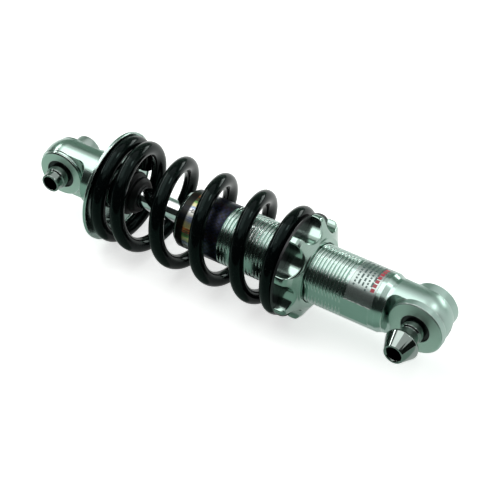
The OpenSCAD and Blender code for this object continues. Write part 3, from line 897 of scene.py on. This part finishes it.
@dataclass
class NotchedCollar:
    """The preload collar: a coned ring nut with round spanner notches, its edges softened by buffing."""

    radius: float = 22.1
    rim: float = 3.9
    hub_radius: float = 15.0
    bore_radius: float = 12.3
    notch_count: int = 8
    notch_radius: float = 7.4
    notch_floor: float = 16.0
    tooth_fillet: float = 1.2
    blend: float = 0.7
    facet: float = 0.6

    def profile(self) -> list[Point]:
        """Gives the collar's turned outline, finely divided.

        Returns:
            Radius and X of each point in mm.
        """
        low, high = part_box("preload_collar")
        back, front = low.x / MM, high.x / MM
        corners: list[Corner] = [
            (self.bore_radius, back + 0.4, 0.2),
            (self.bore_radius + 0.4, back, 0.2),
            (self.radius, back, 0.7),
            (self.radius, back + 0.62 * self.rim, 1.2),
            (self.radius - 0.5, back + 0.92 * self.rim, 1.2),
            (self.radius - 1.6, back + 1.18 * self.rim, 1.5),
            (self.radius - 4.2, back + 1.52 * self.rim, 1.5),
            (self.hub_radius, front - 0.5, 0.5),
            (self.hub_radius - 0.6, front, 0.4),
            (self.bore_radius + 0.4, front, 0.2),
            (self.bore_radius, front - 0.4, 0.2),
        ]
        rounded = filleted(corners)
        points: list[Point] = []
        for here, after in zip(rounded, rounded[1:] + rounded[:1]):
            steps = max(1, math.ceil(math.dist(here, after) / self.facet))
            for k in range(steps):
                t = k / steps
                points.append((here[0] + (after[0] - here[0]) * t, here[1] + (after[1] - here[1]) * t))
        return points

    def outline(self) -> list[Point]:
        """Gives the notched outline of the collar's rim, with rounded tooth corners.

        Returns:
            Y and Z of each point in mm.
        """
        reach = self.notch_floor + self.notch_radius
        cosine = (self.radius ** 2 + reach ** 2 - self.notch_radius ** 2) / (2 * self.radius * reach)
        edge = math.acos(cosine)
        sweep = math.atan2(self.radius * math.sin(edge), reach - self.radius * cosine)
        steps = [-1.0] + [i / 10 for i in range(-8, 9)] + [1.0]
        corners: list[Corner] = []
        for k in range(self.notch_count):
            middle = 2 * math.pi * k / self.notch_count
            tooth = middle + math.pi / self.notch_count
            cos, sin = math.cos(middle), math.sin(middle)
            for step in steps:
                deep = reach - self.notch_radius * math.cos(sweep * step)
                across = self.notch_radius * math.sin(sweep * step)
                fillet = self.tooth_fillet if abs(step) == 1 else 0.0
                corners.append((deep * cos - across * sin, deep * sin + across * cos, fillet))
            corners.append((self.radius * math.cos(tooth), self.radius * math.sin(tooth), 0.0))
        return filleted(corners)

    def mesh(self) -> Mesh:
        """Lofts the notched outline along the turned one.

        Returns:
            The closed collar.
        """
        bm = bmesh.new()
        profile = self.profile()
        rings: list[Ring] = []
        for y, z in self.outline():
            reach = math.hypot(y, z)
            ring = []
            for radius, x in profile:
                near = max(0.0, 1 - abs(radius - reach) / self.blend)
                r = min(radius, reach) - near * near * self.blend / 4
                ring.append(bm.verts.new((x * MM, r * y / reach * MM, r * z / reach * MM)))
            rings.append(ring)
        bridge(bm, rings)
        return finish_mesh(bm, 50.0)


@dataclass
class SpringPack(Assembly):
    """The spring, its washer and the notched preload collar."""

    finishes = {"thrust_washer": BLACK_ACETAL}
    stroke: float = 16.0

    def build(self) -> None:
        """Builds the spring at rest, and the collar; the real spring shortens towards the collar as the rod
        goes in.
        """
        coil = CoilSpring()
        piece = self.palette.add_piece(
            "coil_spring_paint", coil.mesh(), BLACK_ENAMEL, Body.PRELOAD, "black_paint", ("coil_spring",)
        )
        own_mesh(piece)
        self.palette.add_piece(
            "preload_collar_buffed",
            NotchedCollar().mesh(),
            BUFFED_ALUMINIUM,
            Body.COLLAR,
            "polished_alloy",
            ("preload_collar",),
        )


@dataclass
class RodEnd(Assembly):
    """The rod, its eyelet and sleeve, the spring seat and the rubber bump stop."""

    finishes = {
        "damper_rod": HARD_CHROME,
        "rod_eyelet": MILLED_ALUMINIUM,
        "spring_seat": TURNED_ALUMINIUM,
        "rod_eye_bush": BLACK_ACETAL,
    }
    bump_radius: float = 9.5
    bump_relief: float = 5.0
    rib_depth: float = 2.0
    rod_radius: float = 4.5
    rod_gap: float = 0.08
    hole_radius: float = 3.2
    sleeve_radius: float = 4.7
    tip_radius: float = 4.0
    tip_length: float = 3.2
    shoulder_radius: float = 5.8
    shoulder_length: float = 7.0

    def build(self) -> None:
        """Builds the turned sleeve with its plated far spacer, and the ribbed bump stop."""
        low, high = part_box("rod_eye_sleeve")
        near, far = low.y / MM, high.y / MM
        centre = (low.x + high.x) / 2 / MM
        sleeve: list[Corner] = [
            (self.hole_radius, near, 0.25),
            (self.tip_radius, near, 0.35),
            (self.tip_radius, near + self.tip_length, 0.2),
            (self.sleeve_radius, near + self.tip_length + 0.4, 0.3),
            (self.sleeve_radius, far - 0.2, 0.2),
            (self.hole_radius, far - 0.2, 0.2),
        ]
        spacer: list[Corner] = [
            (self.sleeve_radius - 0.02, far - self.shoulder_length, 0.0),
            (self.shoulder_radius, far - self.shoulder_length, 0.3),
            (self.shoulder_radius, far, 0.6),
            (self.sleeve_radius - 0.02, far, 0.2),
        ]
        self.palette.add_piece(
            "rod_eye_spacer",
            lathe(filleted(spacer), Axis.Y, centre),
            ZINC_STEEL,
            Body.ROD_SLEEVE,
            "dark_steel",
        )
        self.palette.add_piece(
            "rod_eye_sleeve_turned",
            lathe(filleted(sleeve), Axis.Y, centre),
            BLACK_CHROME,
            Body.ROD_SLEEVE,
            "dark_steel",
            ("rod_eye_sleeve",),
        )
        low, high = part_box("bump_stop")
        left, right = low.x / MM, high.x / MM - self.bump_relief
        rod = self.rod_radius + self.rod_gap
        span = right - left
        big = self.bump_radius
        corners: list[Corner] = [
            (rod, left, 0.3),
            (big - 0.9, left, 0.5),
            (big, left + 1.0, 0.6),
            (big, left + 0.30 * span, 1.0),
            (big - self.rib_depth, left + 0.40 * span, 0.8),
            (big - 0.4, left + 0.50 * span, 0.9),
            (big - 0.4, left + 0.62 * span, 0.9),
            (big - self.rib_depth - 0.4, left + 0.73 * span, 0.8),
            (big - 1.6, left + 0.83 * span, 0.8),
            (big - 3.2, right, 0.9),
            (rod, right, 0.4),
        ]
        mesh = lathe(filleted(corners), Axis.X)
        self.palette.add_piece("bump_stop_rubber", mesh, NITRILE_RUBBER, Body.ROD, "rubber", ("bump_stop",))


@dataclass
class DamperBody(Assembly):
    """The threaded body with its eye, sleeve, film band and label."""

    finishes = {
        "damper_body": BODY_ALUMINIUM,
        "body_label": FOIL_STOCK,
        "body_eye_bush": BLACK_ACETAL,
        "charge_screw": BLACK_CHROME,
    }
    body_radius: float = 12.1
    print_lift: float = 0.02
    line_width: float = 0.8
    line_pitch: float = 1.75
    line_count: int = 5
    line_margin: float = 1.4
    first_deg: float = 60.0
    last_deg: float = 132.0
    stagger_deg: float = 3.0
    dash_deg: float = 4.0
    dash_step_deg: float = 3.0
    dash_gap_deg: float = 2.4
    red_count: int = 7
    red_row: Point = (2.5, 0.9)
    red_offset_deg: float = 4.0
    red_deg: float = 7.0
    red_pitch_deg: float = 9.5
    wrap_end: float = -86.5
    wrap_lift: float = 0.06
    wrap_sides: int = 180
    film_thickness: float = 0.25
    flat_height: float = 11.35
    hole_radius: float = 3.2
    sleeve_radius: float = 4.7
    neck_radius: float = 4.0
    head_radius: float = 7.1
    head_cone: float = 6.3
    step_y: float = -11.0

    def sleeve(self) -> None:
        """Builds the eye sleeve with its neck and buffed cone head."""
        low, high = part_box("body_eye_sleeve")
        near, far = low.y / MM, high.y / MM
        shoulder = near + self.head_cone
        corners: list[Corner] = [
            (self.hole_radius + 0.4, near, 0.15),
            (self.hole_radius + 1.0, near, 0.25),
            (self.head_radius - 0.5, shoulder - 1.1, 0.8),
            (self.head_radius, shoulder, 0.6),
            (self.head_radius - 0.3, shoulder + 1.0, 0.5),
            (self.head_radius - 1.4, shoulder + 1.9, 0.6),
            (self.neck_radius, shoulder + 2.3, 0.4),
            (self.neck_radius, self.step_y, 0.2),
            (self.sleeve_radius, self.step_y + 0.5, 0.3),
            (self.sleeve_radius, far, 0.5),
            (self.hole_radius, far, 0.25),
            (self.hole_radius, near + 0.5, 0.2),
        ]
        self.palette.add_piece(
            "body_eye_sleeve_turned",
            lathe(filleted(corners), Axis.Y),
            BLACK_CHROME,
            Body.BODY_SLEEVE,
            "dark_steel",
            ("body_eye_sleeve",),
        )

    def film(self) -> None:
        """Wraps the film from the open end over the first threads and down onto the flats."""
        low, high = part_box("foil_band")
        left, groove_end = low.x / MM, high.x / MM
        stations = [(left, -0.3), (left + 0.3, 0.0), (groove_end, 0.0), (groove_end + 0.5, self.wrap_lift)]
        stations += [(self.wrap_end - 0.1, self.wrap_lift), (self.wrap_end, 0.0)]
        bm = bmesh.new()
        rings: list[Ring] = []
        for k in range(self.wrap_sides):
            turn = 2 * math.pi * k / self.wrap_sides
            cos, sin = math.cos(turn), math.sin(turn)
            sunk = min(self.body_radius, self.flat_height / max(abs(cos), 0.01))
            outer = [((sunk if x > groove_end else self.body_radius) + lift, x) for x, lift in stations]
            inner = [(radius - self.film_thickness, x) for radius, x in reversed(outer)]
            ring = [bm.verts.new((x * MM, r * cos * MM, r * sin * MM)) for r, x in outer + inner]
            rings.append(ring)
        bridge(bm, rings)
        mesh = finish_mesh(bm)
        self.palette.add_piece("foil_band_wrap", mesh, DARK_HOLOGRAPHIC, Body.DAMPER, "foil", ("foil_band",))

    def build(self) -> None:
        """Builds the sleeve, the film band and the label's plain dashes, one row of them red."""
        self.sleeve()
        self.film()
        low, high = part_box("body_label")
        left, right = low.x / MM, high.x / MM
        dark: list[Patch] = []
        for k in range(self.line_count):
            x = left + self.line_margin + k * self.line_pitch
            angle = self.first_deg + self.stagger_deg * (k % 2)
            length = self.dash_deg + self.dash_step_deg * (5 * k % 3)
            while angle + length <= self.last_deg:
                dark.append((x, x + self.line_width, angle, angle + length))
                angle += length + self.dash_gap_deg
        first = self.first_deg + self.red_offset_deg
        starts = [first + self.red_pitch_deg * k for k in range(self.red_count)]
        x0, x1 = (right - inset for inset in self.red_row)
        red = [(x0, x1, start, start + self.red_deg) for start in starts]
        for name, patches, finish in (("label_dashes", dark, DARK_INK), ("label_red_dashes", red, RED_INK)):
            self.palette.add_piece(name, self.patches(patches), finish, Body.DAMPER, "label_foil")

    def patches(self, spans: list[Patch]) -> Mesh:
        """Makes thin curved patches of ink on the label.

        Args:
            spans: first and last X in mm and first and last angle in degrees of each patch.

        Returns:
            The patches as closed shells.
        """
        bm = bmesh.new()
        inner = self.body_radius - 0.01
        outer = self.body_radius + self.print_lift
        for x0, x1, a0, a1 in spans:
            steps = max(2, math.ceil((a1 - a0) / 4))
            rows = []
            for k in range(steps + 1):
                turn = math.radians(a0 + (a1 - a0) * k / steps)
                cos, sin = math.cos(turn), math.sin(turn)
                rows.append([
                    bm.verts.new((x * MM, r * cos * MM, r * sin * MM))
                    for x, r in ((x0, inner), (x1, inner), (x1, outer), (x0, outer))
                ])
            bridge(bm, rows, closed=False)
            bm.faces.new(rows[0])
            bm.faces.new(rows[-1])
        return finish_mesh(bm)


class InnerDamper(Assembly):
    """The sealed pieces inside the body."""

    finishes = {
        **dict.fromkeys(("seal_head", "floating_piston", "damping_piston"), TURNED_ALUMINIUM),
        **dict.fromkeys(("rod_seal", "rod_wiper", "head_ring", "float_ring"), NITRILE_RUBBER),
        **dict.fromkeys(("retaining_ring", "rebound_shims", "compression_shims", "piston_nut"), ZINC_STEEL),
        "guide_bush": SINTERED_BRONZE,
        "piston_band": BLACK_ACETAL,
        "top_out_pad": RED_URETHANE,
    }


@dataclass
class Studio:
    """A white floor and room, four soft lamps, four cards that reflections see, and the camera."""

    azimuth_deg: float = 32.62
    elevation_deg: float = 42.49
    target: tuple[float, float, float] = (-77.52, -0.97, -2.66)
    distance: float = 926.5
    lens: float = 170.3
    floor_gap: float = 0.3
    floor_half: float = 4000.0
    card_distance: float = 1300.0
    front_height: float = 1530.0
    back_height: float = 1150.0
    right_height: float = 900.0
    card_foot: float = -20.0
    floor_card_x: Point = (-900.0, 500.0)
    floor_card_y: Point = (-1100.0, -16.0)
    shown_glow: float = 0.33
    camera_glow: float = 0.32

    def camera(self) -> None:
        """Places the camera at the viewing angle of the reference."""
        data = bpy.data.cameras.new("camera")
        data.lens = self.lens
        data.sensor_width = 36.0
        data.clip_start = 0.01
        data.clip_end = 50.0
        camera = place("camera", data)
        azimuth, elevation = math.radians(self.azimuth_deg), math.radians(self.elevation_deg)
        back = Vector((
            math.sin(azimuth) * math.cos(elevation),
            -math.cos(azimuth) * math.cos(elevation),
            math.sin(elevation),
        ))
        camera.location = (Vector(self.target) + back * self.distance) * MM
        camera.rotation_mode = "QUATERNION"
        camera.rotation_quaternion = (-back).to_track_quat("-Z", "Y")
        bpy.context.scene.camera = camera

    def sheet(
        self,
        name: str,
        corners: list[Vector],
        material: Material,
        faces: tuple[tuple[int, ...], ...] = ((0, 1, 2, 3),),
    ) -> bpy.types.Object:
        """Adds a stage sheet.

        Args:
            name: name of the sheet.
            corners: its corners in mm.
            material: its material.
            faces: numbers of each face's corners.

        Returns:
            The sheet's object.
        """
        mesh = bpy.data.meshes.new(name)
        mesh.from_pydata([c * MM for c in corners], [], faces)
        mesh.materials.append(material)
        sheet = place(name, mesh)
        return sheet

    def rays(self, tree: Tree) -> tuple[Socket, Source]:
        """Finds the rays that show a surface, straight, in metal or through glass.

        Args:
            tree: node tree of the floor or the world.

        Returns:
            The camera's rays, and all of these rays.
        """
        paths = add_node(tree, "LightPath").outputs
        seen = paths["Is Camera Ray"]
        for name in ("Is Glossy Ray", "Is Transmission Ray"):
            seen = add_node(tree, "Math", {0: seen, 1: paths[name]}, operation="MAXIMUM")
        return paths["Is Camera Ray"], seen

    def matt(self, name: str, colour: str) -> Material:
        """Makes a plain matt card material.

        Args:
            name: name of the material.
            colour: its hex colour.

        Returns:
            The material.
        """
        material = bpy.data.materials.new(name)
        material.use_nodes = True
        shader = material.node_tree.nodes["Principled BSDF"]
        feed(shader, {"Base Color": linear(colour), "Roughness": 0.9})
        return material

    def floor(self) -> None:
        """Adds the pale floor, which the camera and the metal see a little brighter."""
        material = bpy.data.materials.new("white_paper_floor")
        material.use_nodes = True
        tree = material.node_tree
        tree.nodes.clear()
        camera, seen = self.rays(tree)
        base = add_node(tree, "Math", {0: seen, 1: self.shown_glow}, operation="MULTIPLY")
        lift = add_node(tree, "Math", {0: camera, 1: self.camera_glow, 2: base}, operation="MULTIPLY_ADD")
        paper = add_node(tree, "BsdfDiffuse", {"Color": linear("#f4f5f4")})
        glow = add_node(tree, "Emission", {"Color": linear("#ffffff"), "Strength": lift})
        both = add_node(tree, "AddShader", {0: paper, 1: glow})
        add_node(tree, "OutputMaterial", {"Surface": both})
        z = CAD_BOX[0].z / MM - self.floor_gap
        half = self.floor_half
        corners = [Vector((x, y, z)) for x, y in ((-half, -half), (half, -half), (half, half), (-half, half))]
        self.sheet("floor", corners, material)

    def world(self) -> None:
        """Sets the white surroundings, which give the pieces only a dim even light."""
        world = bpy.data.worlds.new("white_room")
        bpy.context.scene.world = world
        world.use_nodes = True
        tree = world.node_tree
        tree.nodes.clear()
        seen = self.rays(tree)[1]
        dim = add_node(tree, "Background", {"Color": linear("#e6ece8"), "Strength": 0.55})
        white = add_node(tree, "Background", {"Color": linear("#ffffff"), "Strength": 1.0})
        both = add_node(tree, "MixShader", {0: seen, 1: dim, 2: white})
        add_node(tree, "OutputWorld", {"Surface": both})

    def card(self, name: str, centre_deg: float, spread_deg: float, high: float, colour: str) -> None:
        """Adds a curved studio card that only reflections and soft light see.

        Args:
            name: name of the card.
            centre_deg: its direction from the shock, as a camera azimuth.
            spread_deg: how much of the circle it covers.
            high: height of its upper edge in mm.
            colour: its hex colour.
        """
        middle = Vector((self.target[0], self.target[1], 0))
        steps = max(2, round(spread_deg / 10))
        points = []
        for k in range(steps + 1):
            angle = math.radians(centre_deg - spread_deg / 2 + spread_deg * k / steps)
            points.append(middle + Vector((math.sin(angle), -math.cos(angle), 0)) * self.card_distance)
        edges = (Vector((0, 0, self.card_foot)), Vector((0, 0, high)))
        corners = [point + edge for point in points for edge in edges]
        faces = tuple((2 * k, 2 * k + 2, 2 * k + 3, 2 * k + 1) for k in range(steps))
        self.sheet(name, corners, self.matt(name, colour), faces).visible_camera = False

    def floor_card(self, colour: str) -> None:
        """Lays a grey-green sheet before the shock, which only its reflections see.

        Args:
            colour: its hex colour.
        """
        z = CAD_BOX[0].z / MM - self.floor_gap + 0.2
        (left, right), (front, back) = self.floor_card_x, self.floor_card_y
        corners = [Vector((x, y, z)) for x, y in ((left, front), (right, front), (right, back), (left, back))]
        sheet = self.sheet("floor_card", corners, self.matt("grey_green_card", colour))
        sheet.visible_camera = False
        sheet.visible_diffuse = False
        sheet.visible_shadow = False

    def lamp(self, name: str, centre: Vector, size: Point, watts: float, colour: str) -> None:
        """Adds a soft lamp aimed at the shock.

        Args:
            name: name of the lamp.
            centre: its centre in mm.
            size: its width and height in mm.
            watts: its power.
            colour: its hex colour.
        """
        data = bpy.data.lights.new(name, "AREA")
        data.shape = "RECTANGLE"
        data.size, data.size_y = size[0] * MM, size[1] * MM
        data.energy = watts
        data.color = linear(colour)[:3]
        lamp = place(name, data)
        lamp.location = centre * MM
        lamp.rotation_mode = "QUATERNION"
        lamp.rotation_quaternion = (Vector(self.target) - centre).to_track_quat("-Z", "Y")

    def build(self) -> None:
        """Builds the studio."""
        bpy.context.scene.view_settings.view_transform = "Standard"
        self.camera()
        self.world()
        self.floor()
        self.card("front_card", self.azimuth_deg - 50, 180.0, self.front_height, "#171e1b")
        self.card("back_card", self.azimuth_deg + 180, 160.0, self.back_height, "#a8c2b5")
        self.card("right_card", self.azimuth_deg + 54, 28.0, self.right_height, "#171e1b")
        self.lamp("overhead_softbox", Vector((-500.0, -20.0, 1000.0)), (900.0, 860.0), 4.1, "#ffffff")
        self.lamp("left_strip", Vector((-1080.0, 60.0, 600.0)), (900.0, 120.0), 3.0, "#ffffff")
        self.lamp("right_softbox", Vector((534.0, 470.0, 1040.0)), (260.0, 260.0), 1.8, "#ffffff")
        self.lamp("rim_softbox", Vector((283.0, 1120.0, 260.0)), (600.0, 260.0), 2.6, "#ffffff")
        self.floor_card("#bcd8cc")
        LOG.info("built studio")


def main() -> None:
    """Builds and dresses each sub-assembly, then the studio."""
    logging.basicConfig(level=logging.INFO, format="%(message)s")
    palette = Palette()
    for kind in (SpringPack, RodEnd, DamperBody, InnerDamper):
        assembly = kind(palette)
        assembly.build()
        assembly.dress()
    Studio().build()


if __name__ == "__main__":
    main()
